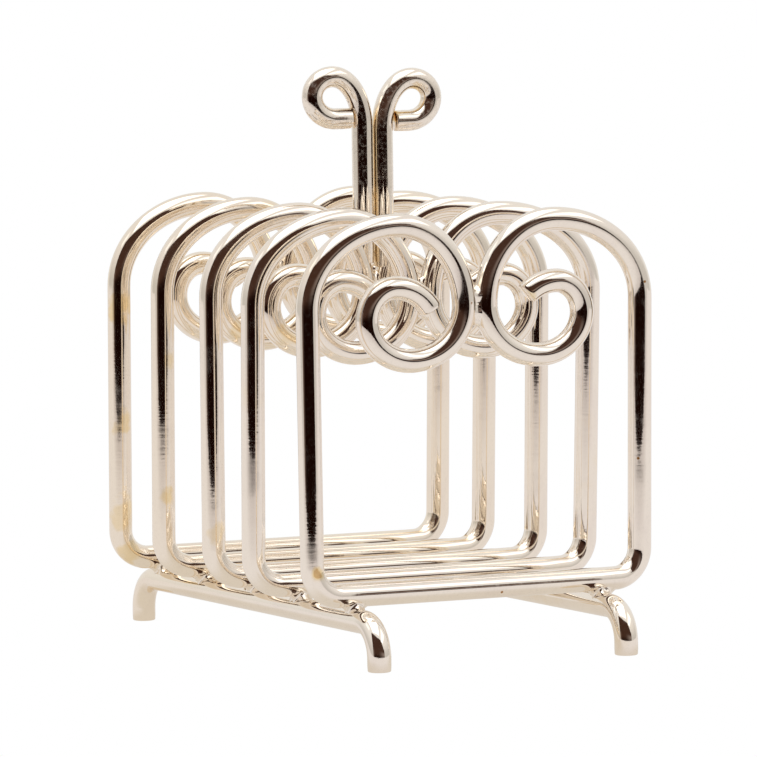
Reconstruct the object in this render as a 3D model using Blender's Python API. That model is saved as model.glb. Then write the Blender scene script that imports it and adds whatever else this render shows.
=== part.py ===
"""Toast rack: five scrolled wire dividers on two footed base rails, with a two-wire handle.

Metres, +Z up. X runs across the rack, Y from front (-Y) to back, and the feet stand on Z = 0.
"""

import math

import bmesh
import bpy
from mathutils import Vector

MM = 0.001

# Wire stock
WIRE_RADIUS = 2.5 * MM
HANDLE_WIRE_RADIUS = 2.25 * MM
WIRE_SIDES = 10
HANDLE_WIRE_SIDES = 12

# Dividers: one bent wire each, from scroll tip to scroll tip
HALF_WIDTH = 38.8 * MM
SLOT_PITCHES = (25.7 * MM, 21.8 * MM, 24.9 * MM, 22.4 * MM)  # front to back, set by hand
DIVIDER_SPREADS = (0.0, 0.8 * MM, 0.0, 0.0, 0.0)  # how much wider each stands on each side
BAR_CORNER_RADIUS = 6.2 * MM
UPRIGHT_TOP_Z = 74.4 * MM
# (distance from the middle, height) of each place where the wire runs level or upright
CROWN = (18.2 * MM, 91.6 * MM)
TOUCH = (2.55 * MM, 74.3 * MM)
BOWL = (14.9 * MM, 63.2 * MM)
CURL_SIDE = (25.0 * MM, 71.8 * MM)
CURL_TOP = (18.8 * MM, 78.6 * MM)
TIP_RADIUS = 9.8 * MM
TIP_STEPS = 4
TIP_SWEEP_LEFT = math.radians(60)
TIP_SWEEP_RIGHT = math.radians(43)

# Base rails, each ending in two feet
RAIL_X = 28.9 * MM
RAIL_Z = 9.84 * MM
FOOT_SPAN = 116.8 * MM
FOOT_BEND_RADIUS = 7.0 * MM
FRONT_OVERHANG = 11.5 * MM

# Handle: two wires side by side, each with a loop closed against its own stem
STEM_X = 2.4 * MM
STEM_FOOT_Z = 80.5 * MM
STEM_TOP_Z = 110.0 * MM
LOOP_TOP = (9.4 * MM, 120.6 * MM)
LOOP_SIDE = (14.1 * MM, 116.4 * MM)
LOOP_BOTTOM = (8.7 * MM, 111.6 * MM)
LOOP_TIP_X = 5.2 * MM
RIGHT_STEM_DROP = 0.9 * MM

# Brazing
BRAZE_GAP = 0.2 * MM
TOUCH_CLEARANCE = 0.02 * MM
BAR_Z = RAIL_Z + 2 * WIRE_RADIUS + TOUCH_CLEARANCE
BRAZE_WAIST = 0.94  # a ring's narrowest radius as a share of its mean outer radius
RAIL_RING_HOLE = 1.6 * MM
RAIL_RING_OUTSIDE = 3.1 * MM
RAIL_RING_SPREAD = 0.5 * MM  # how much further the ring reaches along the wire it sits on
SCROLL_RING_HOLE = (1.2 * MM, 3.0 * MM)  # half its size along the rack, and upward
SCROLL_RING_OUTSIDE = (2.2 * MM, 4.8 * MM)
BEAD_CENTRE = (5.4 * MM, 89.0 * MM)
BEAD_RADII = (1.7 * MM, 2.4 * MM, 2.0 * MM)


def clear_scene():
    for obj in list(bpy.data.objects):
        bpy.data.objects.remove(obj, do_unlink=True)


def metal(name, colour, roughness):
    material = bpy.data.materials.new(name)
    material.use_nodes = True
    shader = material.node_tree.nodes["Principled BSDF"]
    shader.inputs["Base Color"].default_value = (*colour, 1.0)
    shader.inputs["Metallic"].default_value = 1.0
    shader.inputs["Roughness"].default_value = roughness
    material.diffuse_color = (*colour, 1.0)
    return material


def add_object(name, mesh_data, material, parent):
    mesh_data.normal_update()
    bmesh.ops.recalc_face_normals(mesh_data, faces=mesh_data.faces)
    mesh = bpy.data.meshes.new(name)
    mesh_data.to_mesh(mesh)
    mesh_data.free()
    mesh.shade_smooth()
    mesh.set_sharp_from_angle(angle=math.radians(50))
    obj = bpy.data.objects.new(name, mesh)
    obj.data.materials.append(material)
    obj.parent = parent
    bpy.context.scene.collection.objects.link(obj)
    return obj


def as_guide(obj):
    obj.hide_render = True
    obj.display_type = "WIRE"
    return obj


def quarter(start, end, leaves, steps):
    """Points of a quarter ellipse from start to end, which leaves start "upright" or "level"."""
    (x0, z0), (x1, z1) = start, end
    points = []
    for step in range(1, steps + 1):
        turn = math.pi / 2 * step / steps
        lead, follow = math.sin(turn), 1 - math.cos(turn)
        across, along = (follow, lead) if leaves == "upright" else (lead, follow)
        points.append((x0 + (x1 - x0) * across, z0 + (z1 - z0) * along))
    return points


def tube(path, radius, sides):
    """A closed tube round a path of 3-D points that all lie in one upright plane."""
    path = [Vector(point) for point in path]
    tangents = [(b - a).normalized() for a, b in zip(path, path[1:])]
    normal = next(t.cross(tangents[0]) for t in tangents if t.cross(tangents[0]).length > 1e-3)
    normal.normalize()
    mesh_data = bmesh.new()
    rings = []
    for index, point in enumerate(path):
        before = tangents[max(index - 1, 0)]
        after = tangents[min(index, len(tangents) - 1)]
        tangent = (before + after).normalized()
        stretch = 1 / max(0.5, tangent.dot(after))
        outward = tangent.cross(normal)
        ring = []
        for side in range(sides):
            turn = 2 * math.pi * (side + 0.5) / sides
            offset = outward * math.cos(turn) * stretch + normal * math.sin(turn)
            ring.append(mesh_data.verts.new(point + offset * radius))
        rings.append(ring)
    for ring, following in zip(rings, rings[1:]):
        for side in range(sides):
            beyond = (side + 1) % sides
            mesh_data.faces.new((ring[side], ring[beyond], following[beyond], following[side]))
    mesh_data.faces.new(rings[0][::-1])
    mesh_data.faces.new(rings[-1])
    return mesh_data


def divider_half(tip_sweep, spread):
    """Half a divider's path as (distance from the middle, height), from its bar to its scroll's tip."""
    edge = HALF_WIDTH + spread
    points = [(edge - BAR_CORNER_RADIUS, BAR_Z)]
    points += quarter(points[-1], (edge, BAR_Z + BAR_CORNER_RADIUS), "level", 4)
    points.append((edge, UPRIGHT_TOP_Z))
    points += quarter(points[-1], CROWN, "upright", 7)
    points += quarter(CROWN, TOUCH, "level", 7)
    points += quarter(TOUCH, BOWL, "upright", 5)
    points += quarter(BOWL, CURL_SIDE, "level", 5)
    points += quarter(CURL_SIDE, CURL_TOP, "upright", 5)
    for step in range(1, TIP_STEPS + 1):
        turn = tip_sweep * step / TIP_STEPS
        inward, downward = TIP_RADIUS * math.sin(turn), TIP_RADIUS * (1 - math.cos(turn))
        points.append((CURL_TOP[0] - inward, CURL_TOP[1] - downward))
    return points


def divider_path(y, spread):
    left = [(-x, y, z) for x, z in divider_half(TIP_SWEEP_LEFT, spread)]
    right = [(x, y, z) for x, z in divider_half(TIP_SWEEP_RIGHT, spread)]
    return left[::-1] + right


def rail_path(x):
    half = FOOT_SPAN / 2
    bend_start = (half, RAIL_Z - FOOT_BEND_RADIUS)
    bend = quarter(bend_start, (half - FOOT_BEND_RADIUS, RAIL_Z), "upright", 6)
    end = [(half, 0.0), bend_start, *bend]
    return [(x, -y, z) for y, z in end] + [(x, y, z) for y, z in end[::-1]]


def handle_path(side, y, drop):
    """One handle wire, side -1 on the left and 1 on the right, from the foot of its stem to its tip."""
    points = [(STEM_X, STEM_FOOT_Z), (STEM_X, STEM_TOP_Z)]
    points += quarter(points[-1], LOOP_TOP, "upright", 6)
    points += quarter(LOOP_TOP, LOOP_SIDE, "level", 5)
    points += quarter(LOOP_SIDE, LOOP_BOTTOM, "upright", 5)
    points.append((LOOP_TIP_X, LOOP_BOTTOM[1]))
    return [(side * x, y, z - (drop if z > STEM_FOOT_Z else 0.0)) for x, z in points]


def saddle_ring(inner, outer_high, outer_low, high, low, place, turns=12):
    """A ring of braze between two crossing wires.

    inner, outer_high and outer_low give radii at a turn; high and low are the faces against the wires
    over a point (u, v) of the ring's plane; place makes a 3-D point from (u, v, height).
    """
    mesh_data = bmesh.new()
    rows = []
    for step in range(turns):
        turn = 2 * math.pi * step / turns
        u, v = math.cos(turn), math.sin(turn)
        start, far_high, far_low = inner(turn), outer_high(turn), outer_low(turn)
        middle_high, middle_low = (start + far_high) / 2, (start + far_low) / 2
        over = [(radius, high(radius * u, radius * v)) for radius in (start, middle_high, far_high)]
        under = [(radius, low(radius * u, radius * v)) for radius in (far_low, middle_low, start)]
        waist = ((far_high + far_low) / 2 * BRAZE_WAIST, (over[-1][1] + under[0][1]) / 2)
        profile = [*over, waist, *under]
        points = [place(radius * u, radius * v, height) for radius, height in profile]
        rows.append([mesh_data.verts.new(point) for point in points])
    for row, following in zip(rows, rows[1:] + rows[:1]):
        for corner in range(len(row)):
            beyond = (corner + 1) % len(row)
            mesh_data.faces.new((row[corner], row[beyond], following[beyond], following[corner]))
    return mesh_data


def rail_braze(x, y):
    """The ring of braze where a divider's bar crosses a rail."""
    reach = WIRE_RADIUS + BRAZE_GAP
    return saddle_ring(
        inner=lambda turn: RAIL_RING_HOLE,
        outer_high=lambda turn: RAIL_RING_OUTSIDE + RAIL_RING_SPREAD * math.cos(2 * turn),
        outer_low=lambda turn: RAIL_RING_OUTSIDE - RAIL_RING_SPREAD * math.cos(2 * turn),
        high=lambda u, v: BAR_Z - math.sqrt(reach**2 - v**2),
        low=lambda u, v: RAIL_Z + math.sqrt(reach**2 - u**2),
        place=lambda u, v, height: (x + u, y + v, height),
    )


def scroll_braze(y):
    """The ring of braze where a divider's two scrolls touch."""
    reach = WIRE_RADIUS + BRAZE_GAP

    def face(u, v):
        """How far the right-hand wire's near side is from the middle, at v above the touch."""
        turning_point = CROWN if v > 0 else BOWL
        run = turning_point[0] - TOUCH[0]
        rise = turning_point[1] - TOUCH[1]
        level = math.sqrt(1 - (v / rise) ** 2)
        wire_x = TOUCH[0] + run * (1 - level)
        slope = run * v / (rise**2 * level)
        return wire_x - math.sqrt(reach**2 - u**2) * math.hypot(1, slope)

    def oval(size):
        """The radius at a turn of an oval with these half sizes."""
        flat, tall = size
        return lambda turn: flat * tall / math.hypot(tall * math.cos(turn), flat * math.sin(turn))

    return saddle_ring(
        inner=oval(SCROLL_RING_HOLE),
        outer_high=oval(SCROLL_RING_OUTSIDE),
        outer_low=oval(SCROLL_RING_OUTSIDE),
        high=face,
        low=lambda u, v: -face(u, v),
        place=lambda u, v, height: (height, y + u, TOUCH[1] + v),
    )


def bead(side, y):
    mesh_data = bmesh.new()
    bmesh.ops.create_uvsphere(mesh_data, u_segments=12, v_segments=8, radius=1.0)
    for vertex in mesh_data.verts:
        vertex.co = Vector(size * part for size, part in zip(BEAD_RADII, vertex.co))
        vertex.co += Vector((side * BEAD_CENTRE[0], y, BEAD_CENTRE[1]))
    return mesh_data


def cut(obj, cutter):
    boolean = obj.modifiers.new("fit_to_" + cutter.name, "BOOLEAN")
    boolean.operation = "DIFFERENCE"
    boolean.object = cutter


def divider_places():
    """(y, spread) of each divider, front to back."""
    y = -FOOT_SPAN / 2 + FRONT_OVERHANG
    places = [(y, DIVIDER_SPREADS[0])]
    for pitch, spread in zip(SLOT_PITCHES, DIVIDER_SPREADS[1:]):
        y += pitch
        places.append((y, spread))
    return places


def build():
    clear_scene()
    rack = bpy.data.objects.new("toast_rack", None)
    bpy.context.scene.collection.objects.link(rack)
    plated = metal("plated_wire", (0.86, 0.82, 0.76), 0.12)
    handle_plated = metal("handle_wire", (0.82, 0.78, 0.73), 0.2)
    braze = metal("braze", (0.74, 0.67, 0.56), 0.35)

    places = divider_places()
    for number, (y, spread) in enumerate(places, 1):
        wire = tube(divider_path(y, spread), WIRE_RADIUS, WIRE_SIDES)
        add_object(f"divider_{number}", wire, plated, rack)
        add_object(f"scroll_braze_{number}", scroll_braze(y), braze, rack)
        for side, word in ((-1, "left"), (1, "right")):
            add_object(f"rail_braze_{word}_{number}", rail_braze(side * RAIL_X, y), braze, rack)
    for side, word in ((-1, "left"), (1, "right")):
        wire = tube(rail_path(side * RAIL_X), WIRE_RADIUS, WIRE_SIDES)
        add_object(f"base_rail_{word}", wire, plated, rack)

    y, spread = places[len(places) // 2]
    divider_room = tube(divider_path(y, spread), WIRE_RADIUS + BRAZE_GAP, WIRE_SIDES)
    divider_room = as_guide(add_object("divider_room", divider_room, braze, rack))
    for side, word, drop in ((-1, "left", 0.0), (1, "right", RIGHT_STEM_DROP)):
        path = handle_path(side, y, drop)
        wire = tube(path, HANDLE_WIRE_RADIUS, HANDLE_WIRE_SIDES)
        wire = add_object(f"handle_wire_{word}", wire, handle_plated, rack)
        cut(wire, divider_room)
        stem_room = tube(path[:3], HANDLE_WIRE_RADIUS + BRAZE_GAP, HANDLE_WIRE_SIDES)
        stem_room = as_guide(add_object(f"stem_room_{word}", stem_room, braze, rack))
        handle_braze = add_object(f"handle_braze_{word}", bead(side, y), braze, rack)
        cut(handle_braze, divider_room)
        cut(handle_braze, stem_room)


build()
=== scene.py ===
"""Looks for the wire toast rack: smooth plated wires, braze fillets, light tent, table and camera."""

import math
import random

import bpy
from mathutils import Matrix, Vector


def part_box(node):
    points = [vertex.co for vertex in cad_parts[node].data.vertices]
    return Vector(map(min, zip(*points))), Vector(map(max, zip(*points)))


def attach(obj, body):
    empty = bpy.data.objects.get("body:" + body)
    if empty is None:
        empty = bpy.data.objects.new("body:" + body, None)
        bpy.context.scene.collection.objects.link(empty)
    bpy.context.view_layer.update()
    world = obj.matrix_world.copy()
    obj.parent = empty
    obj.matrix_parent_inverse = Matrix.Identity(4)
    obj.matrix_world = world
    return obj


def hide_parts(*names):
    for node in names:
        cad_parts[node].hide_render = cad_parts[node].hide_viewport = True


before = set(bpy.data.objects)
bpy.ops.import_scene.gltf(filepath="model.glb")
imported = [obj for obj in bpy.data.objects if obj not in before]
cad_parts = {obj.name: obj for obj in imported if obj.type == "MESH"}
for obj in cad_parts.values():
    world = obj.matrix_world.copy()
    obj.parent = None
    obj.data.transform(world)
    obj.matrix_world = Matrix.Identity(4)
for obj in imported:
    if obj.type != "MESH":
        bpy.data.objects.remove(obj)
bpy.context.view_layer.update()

MM = 0.001
SIDES = {"left": -1, "right": 1}
DIVIDERS = ("divider_1", "divider_2", "divider_3", "divider_4", "divider_5")
MIDDLE_Y = (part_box("divider_3")[0].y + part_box("divider_3")[1].y) / 2

WIRE_RADIUS = 2.5 * MM
HANDLE_WIRE_RADIUS = 2.25 * MM

# Wire outlines, as (distance from the rack's middle plane, height) of the turning points
BAR_CORNER_RADIUS = 6.2 * MM
UPRIGHT_TOP_Z = 74.4 * MM
CROWN = (18.2 * MM, 91.6 * MM)
TOUCH = (2.55 * MM, 74.3 * MM)
BOWL = (14.9 * MM, 63.2 * MM)
CURL_SIDE = (25.0 * MM, 71.8 * MM)
CURL_TOP = (18.8 * MM, 78.6 * MM)
TIP_RADIUS = 9.8 * MM
TIP_SWEEP = {"left": math.radians(60), "right": math.radians(43)}
FOOT_BEND_RADIUS = 7.0 * MM
STEM_X = 2.4 * MM
STEM_FOOT_Z = 80.5 * MM
STEM_TOP_Z = 110.0 * MM
LOOP_TOP = (9.4 * MM, 120.6 * MM)
LOOP_SIDE = (14.1 * MM, 116.4 * MM)
LOOP_BOTTOM = (8.7 * MM, 111.6 * MM)
LOOP_TIP = (5.2 * MM, LOOP_BOTTOM[1])

# How far each divider's left and right uprights lean forward, guessed from where their reflections end.
# An upright turns about a middle height, and the lean fades out along the bar and the scroll.
LEANS = {
    "divider_1": (math.radians(-0.6), math.radians(1.4)),
    "divider_2": (math.radians(1.3), math.radians(3.0)),
    "divider_3": (math.radians(0.4), math.radians(2.1)),
    "divider_4": (math.radians(1.2), math.radians(2.4)),
    "divider_5": (math.radians(1.1), math.radians(2.2)),
}
LEAN_MIDDLE_Z = 48 * MM
LEAN_STARTS_ON_BAR = 29 * MM
LEAN_STARTS_ON_SCROLL = 3 * MM

# How finely the wires are drawn, and how far the rims of their cut ends are rounded
WIRE_SIDES = 40
BEND_STEP = math.radians(4)
STRAIGHT_STEP = 2.5 * MM
END_ROUNDING = 0.45 * MM
END_STEPS = (math.radians(90), math.radians(60), math.radians(30))
WIRE_SHARP_ANGLE = math.radians(40)

# Rings of braze: half sizes on the wires, share that the hollow face draws in to, and lumps
RAIL_FILLET_ALONG = 3.4 * MM
RAIL_FILLET_ACROSS = 2.1 * MM
RAIL_THROAT = 0.62
SCROLL_FILLET_DEPTH = 1.75 * MM
SCROLL_FILLET_HEIGHT = 4.6 * MM
SCROLL_THROAT = 0.8
RING_TURNS = 48
RING_PROFILE = 8
RING_SINK = 0.12 * MM
RING_CORE = 0.4
RING_SHARP_ANGLE = math.radians(60)
LUMPS_ROUND = (2, 3, 5, 7)
LUMP_SIZES = (0.02, 0.09)
RAIL_SEEDS_APART = 20

# Places on the wires where stains sit
RIGHT_TIP = (CURL_TOP[0] - TIP_RADIUS * math.sin(TIP_SWEEP["right"]),
             CURL_TOP[1] - TIP_RADIUS * (1 - math.cos(TIP_SWEEP["right"])))
LOW_CURL = (BOWL[0] + (CURL_SIDE[0] - BOWL[0]) * math.sin(math.radians(45)),
            CURL_SIDE[1] + (BOWL[1] - CURL_SIDE[1]) * math.cos(math.radians(45)))
EYE_CENTRE = (LOOP_TOP[0], LOOP_SIDE[1])

# Plating colours
SILVER = (0.945, 0.87, 0.768, 1.0)
WORN_SILVER = (0.86, 0.768, 0.70, 1.0)
TARNISH = (0.89, 0.69, 0.37, 1.0)
BURNT = (0.62, 0.36, 0.14, 1.0)
SPECK = (0.42, 0.2, 0.06, 1.0)

# How much each effect counts, and where the yellowing and the seam's tarnish start and end
MOTTLE_SHARE = 0.42
BURNT_SHARE = 0.6
REAR_YELLOWING = 0.15
YELLOWING_Y = (-35 * MM, 45 * MM)
SEAM_TARNISH = 0.4
SEAM_REACH = (0.3 * MM, 1.3 * MM)
STREAK_ROUGHNESS = 0.05

# How often each pattern repeats in a metre
PATCHES = 45.0
RAGGED_EDGES = 260.0
SPECKS = 150.0
SPECK_GROUPS = 60.0
PITS = 1300.0
WEAR = 120.0
RUBBING = 70.0
WAVES = 130.0

# How often each pattern repeats in a metre along a wire and in one turn round it. The third isn't used.
MOTTLE = (70.0, 3.0, 1.0)
STREAKS = (90.0, 26.0, 1.0)
TICKS = (1500.0, 4.0, 1.0)

# Noise values between which each pattern fades in
PATCH_LEVELS = (0.62, 0.8)
PATCH_SPREAD = 0.12
MOTTLE_LEVELS = (0.42, 0.68)
SPECK_GROUP_LEVELS = (0.62, 0.64)
SPECK_SIZES = (0.035, 0.06)
PIT_LEVELS = (0.45, 0.75)
WEAR_LEVELS = (0.45, 0.7)
STREAK_LEVELS = (0.5, 0.8)
RUBBING_LEVELS = (0.44, 0.6)
LEAST_RUBBING = 0.3

# Where a stain's edge fades, as shares of its reach, and the cover that looks burnt
STAIN_EDGE = (1.3, 1.9)
BURNT_COVER = (0.85, 1.0)

# Surface unevenness, as shares of its depth
BUMP_DEPTH = 0.03 * MM
TICK_DEPTH = 0.22
WAVE_DEPTH = 0.7
STREAK_DEPTH = 0.08

# The camera stands to the front left, a little above the rack
AZIMUTH = math.radians(-26.2)
ELEVATION = math.radians(4.66)
ROLL = math.radians(-0.75)
CAMERA_DISTANCE = 1.818
LENS = 403.8
SENSOR_WIDTH = 36.0
CAMERA_REACH = 50.0
TARGET_SHIFT = 0.66 * MM
TARGET_HEIGHT = 55.61 * MM
LEVEL_RIGHT = Vector((math.cos(AZIMUTH), math.sin(AZIMUTH), 0.0))
LEVEL_BACK = Vector((math.sin(AZIMUTH), -math.cos(AZIMUTH), 0.0))

# The tent's opening towards the camera. Across and rise are slopes: distance to the right, or up, over
# distance towards the camera. The opening's top edge climbs to the left and drops at its right end, and
# a flap closes its lower right corner. Here and below, a third number is how soft both ends are.
SMALLEST_RUN = 0.02
CAMERA_SIDE = (0.0, 0.05)
OPENING_ACROSS = (-1.5, 1.42, 0.06)
OPENING_RISE = (-4.0, 1.12, 0.07)
TOP_EDGE_CLIMB = 0.4
TOP_EDGE_DROP = 0.6
TOP_EDGE_DROP_ACROSS = (0.7, 1.25)
FLAP_ACROSS = (1.0, 1.15)
FLAP_RISE = (-0.3, -0.16)

# The dark room seen through the opening, with haze on the right and a glow low on the left
ROOM_LOW = (0.008, 0.002, 0.001, 1.0)
ROOM_HIGH = (0.058, 0.028, 0.019, 1.0)
ROOM_RISE = (-0.06, 0.2)
HAZE = (0.24, 0.19, 0.17, 1.0)
HAZE_ACROSS = (-0.1, 1.0)
HAZE_RISE = (0.04, 0.24, 0.1)
GLOW = (0.19, 0.13, 0.11, 1.0)
GLOW_ACROSS = (-1.5, -0.7)
GLOW_RISE = (0.2, 0.45)

# The tent's wall, from its foot upwards and behind the rack
WALL_LOW = (0.6, 0.58, 0.56, 1.0)
WALL_HIGH = (0.86, 0.84, 0.83, 1.0)
WALL_UPWARD = (0.0, 0.55)
WALL_BEHIND = (0.84, 0.83, 0.82, 1.0)
BEHIND_TOWARD = (-0.75, -0.3)

# Lamps overhead, as (low, high, softness) towards the camera, the same to the right, and brightness.
# Both are slopes over distance up: a panel above the rack, a strip on the right and one on the left.
LAMPS = (
    ((-0.38, 0.6, 0.06), (-0.5, 0.4, 0.06), 2.0),
    ((-0.2, 1.0, 0.08), (0.74, 1.32, 0.05), 1.5),
    ((-0.1, 0.35, 0.06), (-1.3, -0.8, 0.08), 1.2),
)

# Floor and table top, in metres
FLOOR_REACH = 6.0
FLOOR_Z = -0.2 * MM
TABLE_Z = -0.4 * MM
TABLE_FRONT_EDGE = 0.33
TABLE_HALF_WIDTH = 1.5
TABLE_REAR_EDGE = -1.5
TABLE_WHITE = (0.83, 0.80, 0.80, 1.0)
# Painted shade on the table top, darkest at its front edge
TABLE_FRONT_SHADE = (0.62, 0.575, 0.57, 1.0)
# A painted shadow of the rack on the table top under it, darker and warmer than the rest
TABLE_RACK_SHADOW = (0.72, 0.67, 0.61, 1.0)
# How far out from the rack the painted shade on the table top starts
TABLE_FRONT_SHADE_STARTS = 0.12
# Where the painted shadow under the rack starts to fade and where it ends, in x and in y
RACK_SHADOW_X = (36 * MM, 60 * MM)
RACK_SHADOW_Y = (55 * MM, 80 * MM)
WHITE = (1.0, 1.0, 1.0, 1.0)
BLACK = (0.0, 0.0, 0.0, 1.0)


class Nodes:
    """Builds a node tree from short calls, each of which returns an output socket."""

    def __init__(self, tree):
        self.tree = tree

    def put(self, socket, value):
        if isinstance(value, bpy.types.NodeSocket):
            self.tree.links.new(value, socket)
        else:
            socket.default_value = value

    def add(self, kind, output=0, settings=(), **inputs):
        node = self.tree.nodes.new(kind)
        for name, value in dict(settings).items():
            setattr(node, name, value)
        for name, value in inputs.items():
            self.put(node.inputs[name.replace("_", " ")], value)
        return node.outputs[output]

    def combine(self, kind, operation, first, second, output=0):
        node = self.tree.nodes.new(kind)
        node.operation = operation
        self.put(node.inputs[0], first)
        self.put(node.inputs[1], second)
        return node.outputs[output]

    def math(self, operation, first, second=0.0):
        return self.combine("ShaderNodeMath", operation, first, second)

    def dot(self, first, second):
        return self.combine("ShaderNodeVectorMath", "DOT_PRODUCT", first, second, "Value")

    def distance(self, first, second):
        return self.combine("ShaderNodeVectorMath", "DISTANCE", first, second, "Value")

    def scale(self, vector, sizes):
        return self.combine("ShaderNodeVectorMath", "MULTIPLY", vector, sizes)

    def ramp(self, value, low, high, start=0.0, end=1.0):
        """start below low, end above high, and smooth between."""
        node = self.tree.nodes.new("ShaderNodeMapRange")
        node.interpolation_type = "SMOOTHSTEP"
        for socket, number in zip(("Value", "From Min", "From Max", "To Min", "To Max"),
                                  (value, low, high, start, end)):
            self.put(node.inputs[socket], number)
        return node.outputs[0]

    def band(self, value, low, high, soft):
        """1 between low and high, with soft edges."""
        return self.math("MULTIPLY", self.ramp(value, low - soft, low + soft),
                         self.ramp(value, high - soft, high + soft, 1.0, 0.0))

    def mix(self, share, first, second):
        node = self.tree.nodes.new("ShaderNodeMix")
        node.data_type = "RGBA"
        self.put(node.inputs["Factor"], share)
        self.put(node.inputs[6], first)
        self.put(node.inputs[7], second)
        return node.outputs[2]

    def noise(self, vector, scale, detail=2.0, roughness=0.5):
        return self.add("ShaderNodeTexNoise", Vector=vector, Scale=scale, Detail=detail, Roughness=roughness)


def tarnish_cover(nodes, place, tarnish_share, stains, seam):
    """How much tarnish covers the silver, from 0 to 1."""
    low, high = PATCH_LEVELS
    patches = nodes.ramp(nodes.noise(place, PATCHES, 4.0, 0.6), low - PATCH_SPREAD * tarnish_share, high)
    cover = nodes.math("MULTIPLY", patches, tarnish_share)
    rearward = nodes.ramp(nodes.dot(place, (0.0, 1.0, 0.0)), *YELLOWING_Y)
    cover = nodes.math("MAXIMUM", cover, nodes.math("MULTIPLY", rearward, REAR_YELLOWING))
    ragged = nodes.noise(place, RAGGED_EDGES, 3.0)
    for centre, reach, strength in stains:
        away = nodes.distance(place, centre)
        blotch = nodes.math("ADD", away, nodes.math("MULTIPLY", ragged, 2 * reach))
        stain = nodes.ramp(blotch, reach * STAIN_EDGE[0], reach * STAIN_EDGE[1], strength, 0.0)
        cover = nodes.math("MAXIMUM", cover, stain)
    if seam:
        out_from_middle = nodes.math("ABSOLUTE", nodes.dot(place, (1.0, 0.0, 0.0)))
        line = nodes.ramp(out_from_middle, *SEAM_REACH, SEAM_TARNISH, 0.0)
        cover = nodes.math("MAXIMUM", cover, line)
    return cover


def plating_colour(nodes, place, along, cover):
    """Silver with duller mottling, then tarnish, burnt where it is thickest, and rare dark specks."""
    mottle = nodes.ramp(nodes.noise(nodes.scale(along, MOTTLE), 1.0, 4.0, 0.6), *MOTTLE_LEVELS)
    colour = nodes.mix(nodes.math("MULTIPLY", mottle, MOTTLE_SHARE), SILVER, WORN_SILVER)
    colour = nodes.mix(cover, colour, TARNISH)
    colour = nodes.mix(nodes.ramp(cover, *BURNT_COVER, 0.0, BURNT_SHARE), colour, BURNT)
    specks = nodes.add("ShaderNodeTexVoronoi", Vector=place, Scale=SPECKS)
    rare = nodes.ramp(nodes.noise(place, SPECK_GROUPS, 1.0), *SPECK_GROUP_LEVELS)
    spots = nodes.math("MULTIPLY", nodes.ramp(specks, *SPECK_SIZES, 1.0, 0.0), rare)
    return nodes.mix(spots, colour, SPECK)


def plating_unevenness(nodes, place, along, streaks):
    """A normal with fine ticks across the wire, mostly where it is rubbed, slow waves and faint streaks."""
    rubbed = nodes.ramp(nodes.noise(place, RUBBING, 2.0), *RUBBING_LEVELS, LEAST_RUBBING, 1.0)
    ticks = nodes.noise(nodes.scale(along, TICKS), 1.0, 2.0)
    waves = nodes.noise(place, WAVES, 2.0)
    height = nodes.math("MULTIPLY", nodes.math("MULTIPLY", ticks, rubbed), TICK_DEPTH)
    height = nodes.math("ADD", height, nodes.math("MULTIPLY", waves, WAVE_DEPTH))
    height = nodes.math("ADD", height, nodes.math("MULTIPLY", streaks, STREAK_DEPTH))
    return nodes.add("ShaderNodeBump", Height=height, Strength=1.0, Distance=BUMP_DEPTH)


def plated(name, smooth, worn, tarnish_share, grain, stains=(), seam=False):
    """Silver plate that yellows towards the rear, with worn, tarnished and stained patches.

    smooth and worn are the least and most roughness, apart from streaks. grain is how dull the fine pits
    are. stains are (centre, reach, strength), and seam adds tarnish near the rack's middle plane.
    """
    material = bpy.data.materials.new(name)
    material.use_nodes = True
    nodes = Nodes(material.node_tree)
    shader = material.node_tree.nodes["Principled BSDF"]
    place = nodes.add("ShaderNodeTexCoord", output="Object")
    # Braze has no wire map, so the patterns that follow a wire are even on it
    along = nodes.add("ShaderNodeUVMap", settings={"uv_map": "wire"})

    cover = tarnish_cover(nodes, place, tarnish_share, stains, seam)
    nodes.put(shader.inputs["Base Color"], plating_colour(nodes, place, along, cover))

    pits = nodes.ramp(nodes.noise(place, PITS, 2.0), *PIT_LEVELS, 1.0, 1.0 - grain)
    nodes.put(shader.inputs["Metallic"], pits)

    streaks = nodes.noise(nodes.scale(along, STREAKS), 1.0, 3.0)
    wear = nodes.ramp(nodes.noise(place, WEAR, 3.0), *WEAR_LEVELS)
    rough = nodes.math("ADD", nodes.ramp(wear, 0.0, 1.0, smooth, worn),
                       nodes.ramp(streaks, *STREAK_LEVELS, 0.0, STREAK_ROUGHNESS))
    nodes.put(shader.inputs["Roughness"], rough)
    nodes.put(shader.inputs["Normal"], plating_unevenness(nodes, place, along, streaks))
    return material


def upright_stain(divider, side, height, reach, strength):
    """A stain on the front of an upright. height and reach are in mm."""
    low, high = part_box(divider)
    return (SIDES[side] * (high.x - WIRE_RADIUS), low.y, height * MM), reach * MM, strength


def scroll_stain(divider, side, place, reach, strength):
    """A stain on the front of a scroll. place is (distance from the middle plane, height)."""
    return (SIDES[side] * place[0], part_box(divider)[0].y, place[1]), reach * MM, strength


def handle_stain(side, place, reach, strength):
    return (SIDES[side] * place[0], MIDDLE_Y, place[1]), reach * MM, strength


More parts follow.
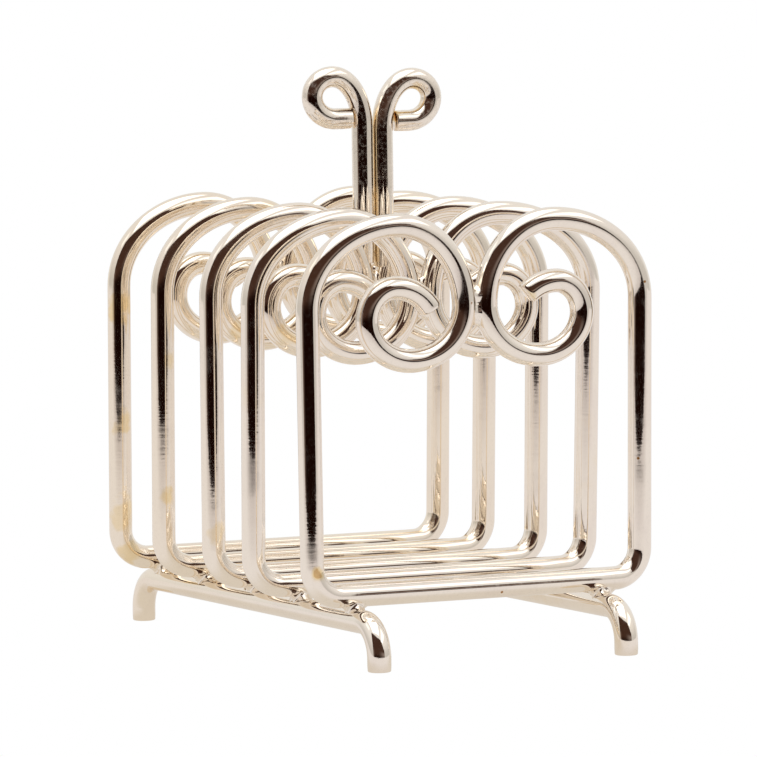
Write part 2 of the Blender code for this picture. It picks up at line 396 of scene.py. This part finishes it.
# Stains on the rear dividers' left sides and the front right tip, and one burnt spot near the front left
# bend. Their last two numbers are the reach in mm and the strength.
WIRE_STAINS = (
    upright_stain("divider_5", "left", 70, 4.5, 0.8),
    upright_stain("divider_5", "left", 45, 3.5, 0.75),
    upright_stain("divider_5", "left", 25, 6.0, 0.6),
    upright_stain("divider_5", "left", 15, 5.0, 0.7),
    upright_stain("divider_4", "left", 60, 3.0, 0.6),
    upright_stain("divider_4", "left", 30, 3.5, 0.8),
    upright_stain("divider_3", "left", 25, 3.0, 0.5),
    upright_stain("divider_1", "left", 20, 2.2, 1.0),
    scroll_stain("divider_1", "right", RIGHT_TIP, 2.6, 0.6),
    scroll_stain("divider_3", "left", LOW_CURL, 3.5, 0.6),
    scroll_stain("divider_4", "left", LOW_CURL, 3.5, 0.6),
)
HANDLE_STAINS = tuple(handle_stain(side, *stain) for side in SIDES
                      for stain in ((EYE_CENTRE, 3.2, 0.9), (LOOP_TIP, 1.6, 1.0)))
MATERIALS = {
    "plated_wire": plated("plated_wire", smooth=0.05, worn=0.13, tarnish_share=0.4, grain=0.03,
                          stains=WIRE_STAINS),
    "handle_wire": plated("handle_wire", smooth=0.07, worn=0.14, tarnish_share=0.45, grain=0.3,
                          stains=HANDLE_STAINS, seam=True),
    "braze": plated("braze", smooth=0.08, worn=0.22, tarnish_share=0.6, grain=0.15),
}


def quarter(start, end, leaves):
    """Points of a quarter ellipse from start to end, which leaves start "upright" or "level"."""
    steps = round(math.pi / 2 / BEND_STEP)
    (x0, z0), (x1, z1) = start, end
    points = []
    for step in range(1, steps + 1):
        turn = math.pi / 2 * step / steps
        lead, follow = math.sin(turn), 1 - math.cos(turn)
        across, along = (follow, lead) if leaves == "upright" else (lead, follow)
        points.append((x0 + (x1 - x0) * across, z0 + (z1 - z0) * along))
    return points


def straight(start, end):
    """Points from start to end, without start."""
    start, end = Vector(start), Vector(end)
    steps = max(1, math.ceil((end - start).length / STRAIGHT_STEP))
    return [tuple(start.lerp(end, step / steps)) for step in range(1, steps + 1)]


def wire_mesh(name, path, radius):
    """A round wire along a path of 3-D points, with cut ends whose rims are slightly rounded.

    Its UV map runs along the wire in U, in metres, and once round it in V.
    """
    path = [Vector(point) for point in path]
    tangents = []
    for index in range(len(path)):
        before = path[index] - path[max(index - 1, 0)]
        after = path[min(index + 1, len(path) - 1)] - path[index]
        tangents.append((before.normalized() + after.normalized()).normalized())
    first, last = tangents[0], tangents[-1]
    rim = [(END_ROUNDING * (1 - math.sin(turn)), radius - END_ROUNDING * (1 - math.cos(turn)))
           for turn in END_STEPS]
    rings = [(path[0] + first * inset, first, size) for inset, size in rim]
    rings += [(point, tangent, radius) for point, tangent in list(zip(path, tangents))[1:-1]]
    rings += [(path[-1] - last * inset, last, size) for inset, size in rim[::-1]]

    vertices, coordinates = [], []
    along = 0.0
    normal = first.orthogonal().normalized()
    previous, tangent_before = rings[0][:2]
    for centre, tangent, size in rings:
        along += (centre - previous).length
        previous = centre
        normal = tangent_before.rotation_difference(tangent) @ normal
        tangent_before = tangent
        across = tangent.cross(normal)
        for side in range(WIRE_SIDES):
            turn = 2 * math.pi * side / WIRE_SIDES
            vertices.append(centre + (normal * math.cos(turn) + across * math.sin(turn)) * size)
            coordinates.append((along, side / WIRE_SIDES))

    faces = []
    for ring in range(len(rings) - 1):
        for side in range(WIRE_SIDES):
            beyond = (side + 1) % WIRE_SIDES
            low, high = ring * WIRE_SIDES, (ring + 1) * WIRE_SIDES
            faces.append((low + side, low + beyond, high + beyond, high + side))
    for ring, outward in ((0, False), (len(rings) - 1, True)):
        middle = len(vertices)
        vertices.append(rings[ring][0])
        coordinates.append((0.0, 0.5))
        for side in range(WIRE_SIDES):
            pair = (ring * WIRE_SIDES + side, ring * WIRE_SIDES + (side + 1) % WIRE_SIDES)
            faces.append((*(pair if outward else pair[::-1]), middle))

    mesh = bpy.data.meshes.new(name)
    mesh.from_pydata([tuple(vertex) for vertex in vertices], [], faces)
    layer = mesh.uv_layers.new(name="wire")
    for loop in mesh.loops:
        layer.data[loop.index].uv = coordinates[loop.vertex_index]
    # The last face of each turn ends at V = 1, where its vertices are those at V = 0
    for polygon in mesh.polygons[:(len(rings) - 1) * WIRE_SIDES]:
        if polygon.vertices[1] % WIRE_SIDES == 0:
            for corner in (1, 2):
                layer.data[polygon.loop_start + corner].uv.y = 1.0
    mesh.shade_smooth()
    mesh.set_sharp_from_angle(angle=WIRE_SHARP_ANGLE)
    return mesh


def add_piece(name, mesh, slot, *nodes):
    obj = bpy.data.objects.new(name, mesh)
    mesh.materials.append(MATERIALS[slot])
    bpy.context.scene.collection.objects.link(obj)
    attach(obj, "root")
    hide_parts(*nodes)


def divider_half(half_width, bar_z, tip_sweep):
    corner = BAR_CORNER_RADIUS
    points = straight((0.0, bar_z), (half_width - corner, bar_z))
    points += quarter(points[-1], (half_width, bar_z + corner), "level")
    points += straight(points[-1], (half_width, UPRIGHT_TOP_Z))
    points += quarter(points[-1], CROWN, "upright")
    points += quarter(CROWN, TOUCH, "level")
    points += quarter(TOUCH, BOWL, "upright")
    points += quarter(BOWL, CURL_SIDE, "level")
    points += quarter(CURL_SIDE, CURL_TOP, "upright")
    steps = round(tip_sweep / BEND_STEP)
    for step in range(1, steps + 1):
        turn = tip_sweep * step / steps
        inward, downward = TIP_RADIUS * math.sin(turn), TIP_RADIUS * (1 - math.cos(turn))
        points.append((CURL_TOP[0] - inward, CURL_TOP[1] - downward))
    return points


def smooth_step(value, low, high):
    share = min(1.0, max(0.0, (value - low) / (high - low)))
    return share * share * (3 - 2 * share)


def build_divider(name):
    low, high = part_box(name)
    y = (low.y + high.y) / 2
    half_width = (high.x - low.x) / 2 - WIRE_RADIUS
    bar_z = low.z + WIRE_RADIUS

    def side_path(side, lean):
        points = []
        for x, z in divider_half(half_width, bar_z, TIP_SWEEP[side]):
            start = LEAN_STARTS_ON_BAR if z < LEAN_MIDDLE_Z else LEAN_STARTS_ON_SCROLL
            share = smooth_step(x, start, half_width)
            points.append((SIDES[side] * x, y - math.tan(lean) * (z - LEAN_MIDDLE_Z) * share, z))
        return points

    left, right = (side_path(side, lean) for side, lean in zip(SIDES, LEANS[name]))
    path = left[::-1] + [(0.0, y, bar_z)] + right
    add_piece("plated_" + name, wire_mesh(name, path, WIRE_RADIUS), "plated_wire", name)


def build_rail(word):
    name = f"base_rail_{word}"
    low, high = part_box(name)
    x = (low.x + high.x) / 2
    half = (high.y - low.y) / 2 - WIRE_RADIUS
    rail_z = high.z - WIRE_RADIUS
    end = [(half, 0.0)]
    end += straight(end[-1], (half, rail_z - FOOT_BEND_RADIUS))
    end += quarter(end[-1], (half - FOOT_BEND_RADIUS, rail_z), "upright")
    run = straight((-end[-1][0], rail_z), end[-1])[:-1]
    path = [(x, -y, z) for y, z in end]
    path += [(x, y, z) for y, z in run + end[::-1]]
    add_piece("plated_" + name, wire_mesh(name, path, WIRE_RADIUS), "plated_wire", name)


def build_handle(word):
    name = f"handle_wire_{word}"
    drop = LOOP_TOP[1] + HANDLE_WIRE_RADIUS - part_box(name)[1].z
    points = [(STEM_X, STEM_FOOT_Z)]
    points += straight(points[-1], (STEM_X, STEM_TOP_Z))
    points += quarter(points[-1], LOOP_TOP, "upright")
    points += quarter(LOOP_TOP, LOOP_SIDE, "level")
    points += quarter(LOOP_SIDE, LOOP_BOTTOM, "upright")
    points += straight(points[-1], LOOP_TIP)
    path = [(SIDES[word] * x, MIDDLE_Y, z - drop) for x, z in points]
    add_piece("plated_" + name, wire_mesh(name, path, HANDLE_WIRE_RADIUS), "handle_wire", name)


def oval(sizes, turn):
    """The distance from an oval's middle to its edge. sizes are its half sizes."""
    return sizes[0] * sizes[1] / math.hypot(sizes[1] * math.cos(turn), sizes[0] * math.sin(turn))


def fillet_ring(name, high, low, reach_high, reach_low, throat, place, seed):
    """A ring of braze in the crease between two wires that touch.

    high(u, v) and low(u, v) are the wires' surfaces over a point of the plane between them. reach_high and
    reach_low are the ring's half sizes along u and v on each wire, and throat is the share of them that the
    hollow outer face draws in to. place makes a 3-D point from (u, v, height).
    """
    draw = random.Random(seed)
    waves = [(count, draw.uniform(*LUMP_SIZES), draw.uniform(0, 2 * math.pi)) for count in LUMPS_ROUND]
    vertices, faces = [], []
    for step in range(RING_TURNS):
        turn = 2 * math.pi * step / RING_TURNS
        u, v = math.cos(turn), math.sin(turn)
        lump = 1 + sum(size * math.sin(count * turn + start) for count, size, start in waves)
        far_high, far_low = oval(reach_high, turn) * lump, oval(reach_low, turn) * lump
        start = Vector((far_high, high(far_high * u, far_high * v) + RING_SINK))
        end = Vector((far_low, low(far_low * u, far_low * v) - RING_SINK))
        middle = Vector(((far_high + far_low) / 2 * throat, (start.y + end.y) / 2))
        profile = []
        for index in range(RING_PROFILE + 1):
            share = index / RING_PROFILE
            profile.append(start * (1 - share) ** 2 + middle * 2 * share * (1 - share) + end * share ** 2)
        inside = min(far_high, far_low) * RING_CORE
        profile += [Vector((inside, end.y)), Vector((inside, start.y))]
        vertices += [place(point.x * u, point.x * v, point.y) for point in profile]
    count = len(profile)
    for step in range(RING_TURNS):
        row, beyond = step * count, (step + 1) % RING_TURNS * count
        for corner in range(count):
            after = (corner + 1) % count
            faces.append((row + corner, beyond + corner, beyond + after, row + after))
    mesh = bpy.data.meshes.new(name)
    mesh.from_pydata(vertices, [], faces)
    mesh.shade_smooth()
    mesh.set_sharp_from_angle(angle=RING_SHARP_ANGLE)
    return mesh


def wire_rise(aside):
    """How far a wire's surface is from its middle line, at a distance aside from that line."""
    return math.sqrt(max(0.0, WIRE_RADIUS ** 2 - aside ** 2))


def build_rail_braze(name, seed):
    low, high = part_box(name)
    x, y = (low.x + high.x) / 2, (low.y + high.y) / 2
    rail_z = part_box("base_rail_left")[1].z - WIRE_RADIUS
    bar_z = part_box("divider_1")[0].z + WIRE_RADIUS
    mesh = fillet_ring(name, high=lambda u, v: bar_z - wire_rise(v), low=lambda u, v: rail_z + wire_rise(u),
                       reach_high=(RAIL_FILLET_ALONG, RAIL_FILLET_ACROSS),
                       reach_low=(RAIL_FILLET_ACROSS, RAIL_FILLET_ALONG), throat=RAIL_THROAT,
                       place=lambda u, v, height: (x + u, y + v, height), seed=seed)
    add_piece("plated_" + name, mesh, "braze", name)


def build_scroll_braze(name, seed):
    low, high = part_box(name)
    y = (low.y + high.y) / 2

    def face(u, v):
        """How far the right-hand wire's near side is from the middle, at v above the touch."""
        turning_point = CROWN if v > 0 else BOWL
        run, rise = turning_point[0] - TOUCH[0], turning_point[1] - TOUCH[1]
        level = math.sqrt(1 - (v / rise) ** 2)
        slope = run * v / (rise ** 2 * level)
        return TOUCH[0] + run * (1 - level) - wire_rise(u) * math.hypot(1, slope)

    reach = (SCROLL_FILLET_DEPTH, SCROLL_FILLET_HEIGHT)
    mesh = fillet_ring(name, high=face, low=lambda u, v: -face(u, v), reach_high=reach, reach_low=reach,
                       throat=SCROLL_THROAT, place=lambda u, v, height: (height, y + u, TOUCH[1] + v),
                       seed=seed)
    add_piece("plated_" + name, mesh, "braze", name)


def build_rack():
    for name in DIVIDERS:
        build_divider(name)
    for number in range(1, len(DIVIDERS) + 1):
        build_scroll_braze(f"scroll_braze_{number}", number)
    for word, side in SIDES.items():
        for number in range(1, len(DIVIDERS) + 1):
            build_rail_braze(f"rail_braze_{word}_{number}", RAIL_SEEDS_APART * side + number)
    for word in SIDES:
        build_rail(word)
    for word in SIDES:
        build_handle(word)
    # The handle's brazes keep their CAD shapes
    for name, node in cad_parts.items():
        if "braze" in name:
            node.data.materials.clear()
            node.data.materials.append(MATERIALS["braze"])


def add_camera():
    back = LEVEL_BACK * math.cos(ELEVATION) + Vector((0.0, 0.0, math.sin(ELEVATION)))
    upright = back.cross(LEVEL_RIGHT)
    right = LEVEL_RIGHT * math.cos(ROLL) + upright * math.sin(ROLL)
    target = LEVEL_RIGHT * TARGET_SHIFT + Vector((0.0, MIDDLE_Y, TARGET_HEIGHT))
    data = bpy.data.cameras.new("camera")
    data.lens = LENS
    data.sensor_width = SENSOR_WIDTH
    data.clip_end = CAMERA_REACH
    camera = bpy.data.objects.new("camera", data)
    turn = Matrix((right, back.cross(right), back)).transposed().to_4x4()
    camera.matrix_world = Matrix.Translation(target + back * CAMERA_DISTANCE) @ turn
    bpy.context.scene.collection.objects.link(camera)
    bpy.context.scene.camera = camera


def opening_mask(nodes, toward, across, rise):
    """1 in the tent's opening towards the camera."""
    climb = nodes.math("MAXIMUM", nodes.math("MULTIPLY", across, -TOP_EDGE_CLIMB), 0.0)
    drop = nodes.ramp(across, *TOP_EDGE_DROP_ACROSS, 0.0, TOP_EDGE_DROP)
    below_top = nodes.math("ADD", nodes.math("SUBTRACT", rise, climb), drop)
    opening = nodes.math("MULTIPLY", nodes.band(across, *OPENING_ACROSS),
                         nodes.band(below_top, *OPENING_RISE))
    opening = nodes.math("MULTIPLY", opening, nodes.ramp(toward, *CAMERA_SIDE))
    flap = nodes.math("MULTIPLY", nodes.ramp(across, *FLAP_ACROSS), nodes.ramp(rise, *FLAP_RISE, 1.0, 0.0))
    return nodes.math("MULTIPLY", opening, nodes.math("SUBTRACT", 1.0, flap))


def room_colour(nodes, across, rise):
    room = nodes.mix(nodes.ramp(rise, *ROOM_RISE), ROOM_LOW, ROOM_HIGH)
    haze = nodes.math("MULTIPLY", nodes.ramp(across, *HAZE_ACROSS), nodes.band(rise, *HAZE_RISE))
    room = nodes.mix(haze, room, HAZE)
    glow = nodes.math("MULTIPLY", nodes.ramp(across, *GLOW_ACROSS, 1.0, 0.0),
                      nodes.ramp(rise, *GLOW_RISE, 1.0, 0.0))
    return nodes.mix(glow, room, GLOW)


def wall_colour(nodes, toward, upward):
    wall = nodes.mix(nodes.ramp(upward, *WALL_UPWARD), WALL_LOW, WALL_HIGH)
    return nodes.mix(nodes.ramp(toward, *BEHIND_TOWARD, 1.0, 0.0), wall, WALL_BEHIND)


def add_world():
    """A pale light tent, open towards the camera onto a dark brown room, with lamps overhead."""
    world = bpy.data.worlds.new("light_tent")
    bpy.context.scene.world = world
    world.use_nodes = True
    nodes = Nodes(world.node_tree)
    direction = nodes.add("ShaderNodeTexCoord", output="Generated")
    toward = nodes.dot(direction, LEVEL_BACK)
    sideways = nodes.dot(direction, LEVEL_RIGHT)
    upward = nodes.dot(direction, (0.0, 0.0, 1.0))

    front = nodes.math("MAXIMUM", toward, SMALLEST_RUN)
    across = nodes.math("DIVIDE", sideways, front)
    rise = nodes.math("DIVIDE", upward, front)
    colour = nodes.mix(opening_mask(nodes, toward, across, rise), wall_colour(nodes, toward, upward),
                       room_colour(nodes, across, rise))

    above = nodes.math("MAXIMUM", upward, SMALLEST_RUN)
    over_front = nodes.math("DIVIDE", toward, above)
    over_side = nodes.math("DIVIDE", sideways, above)
    for front_span, side_span, brightness in LAMPS:
        lamp = nodes.math("MULTIPLY", nodes.band(over_front, *front_span), nodes.band(over_side, *side_span))
        colour = nodes.mix(lamp, colour, (brightness, brightness, brightness, 1.0))

    background = world.node_tree.nodes["Background"]
    seen = nodes.add("ShaderNodeLightPath", output="Is Camera Ray")
    nodes.put(background.inputs["Color"], nodes.mix(seen, colour, WHITE))


def add_lit_plane(name, corners, height):
    """A plane that gives white light of its own and reflects none. It returns the object."""
    mesh = bpy.data.meshes.new(name)
    mesh.from_pydata([(x, y, height) for x, y in corners], [], [(0, 1, 2, 3)])
    obj = bpy.data.objects.new(name, mesh)
    bpy.context.scene.collection.objects.link(obj)
    material = bpy.data.materials.new(name)
    material.use_nodes = True
    shader = material.node_tree.nodes["Principled BSDF"]
    shader.inputs["Base Color"].default_value = BLACK
    shader.inputs["Specular IOR Level"].default_value = 0.0
    shader.inputs["Emission Color"].default_value = WHITE
    shader.inputs["Emission Strength"].default_value = 1.0
    mesh.materials.append(material)
    return obj


def shade_table(table):
    """Painted shade on the table top: darker towards its front edge, and a darker, warmer painted shadow of
    the rack under it.
    """
    tree = table.data.materials[0].node_tree
    nodes = Nodes(tree)
    place = nodes.add("ShaderNodeTexCoord", output="Object")
    away = nodes.dot(place, LEVEL_BACK)
    # Painted shade, darker towards the table top's front edge
    colour = nodes.mix(nodes.ramp(away, TABLE_FRONT_SHADE_STARTS, TABLE_FRONT_EDGE), TABLE_WHITE, TABLE_FRONT_SHADE)
    # A painted shadow of the rack on the table top under it
    aside = nodes.math("ABSOLUTE", nodes.dot(place, (1.0, 0.0, 0.0)))
    deep = nodes.math("ABSOLUTE", nodes.dot(place, (0.0, 1.0, 0.0)))
    rack_shadow = nodes.math("MULTIPLY", nodes.ramp(aside, *RACK_SHADOW_X, 1.0, 0.0),
                       nodes.ramp(deep, *RACK_SHADOW_Y, 1.0, 0.0))
    nodes.put(tree.nodes["Principled BSDF"].inputs["Emission Color"], nodes.mix(rack_shadow, colour, TABLE_RACK_SHADOW))


def add_table():
    """A white floor that only the camera sees, and a pale table top that only reflections see."""
    floor_corners = [(FLOOR_REACH * x, FLOOR_REACH * y) for x, y in ((-1, -1), (1, -1), (1, 1), (-1, 1))]
    floor = add_lit_plane("floor", floor_corners, FLOOR_Z)
    floor.visible_glossy = False
    floor.visible_diffuse = False
    edges = [(TABLE_FRONT_EDGE, -1), (TABLE_FRONT_EDGE, 1), (TABLE_REAR_EDGE, 1), (TABLE_REAR_EDGE, -1)]
    corners = [LEVEL_BACK * out + LEVEL_RIGHT * side * TABLE_HALF_WIDTH for out, side in edges]
    table = add_lit_plane("table_top", [(corner.x, corner.y) for corner in corners], TABLE_Z)
    table.visible_camera = False
    shade_table(table)


build_rack()
add_camera()
add_world()
add_table()
bpy.context.scene.view_settings.view_transform = "Standard"
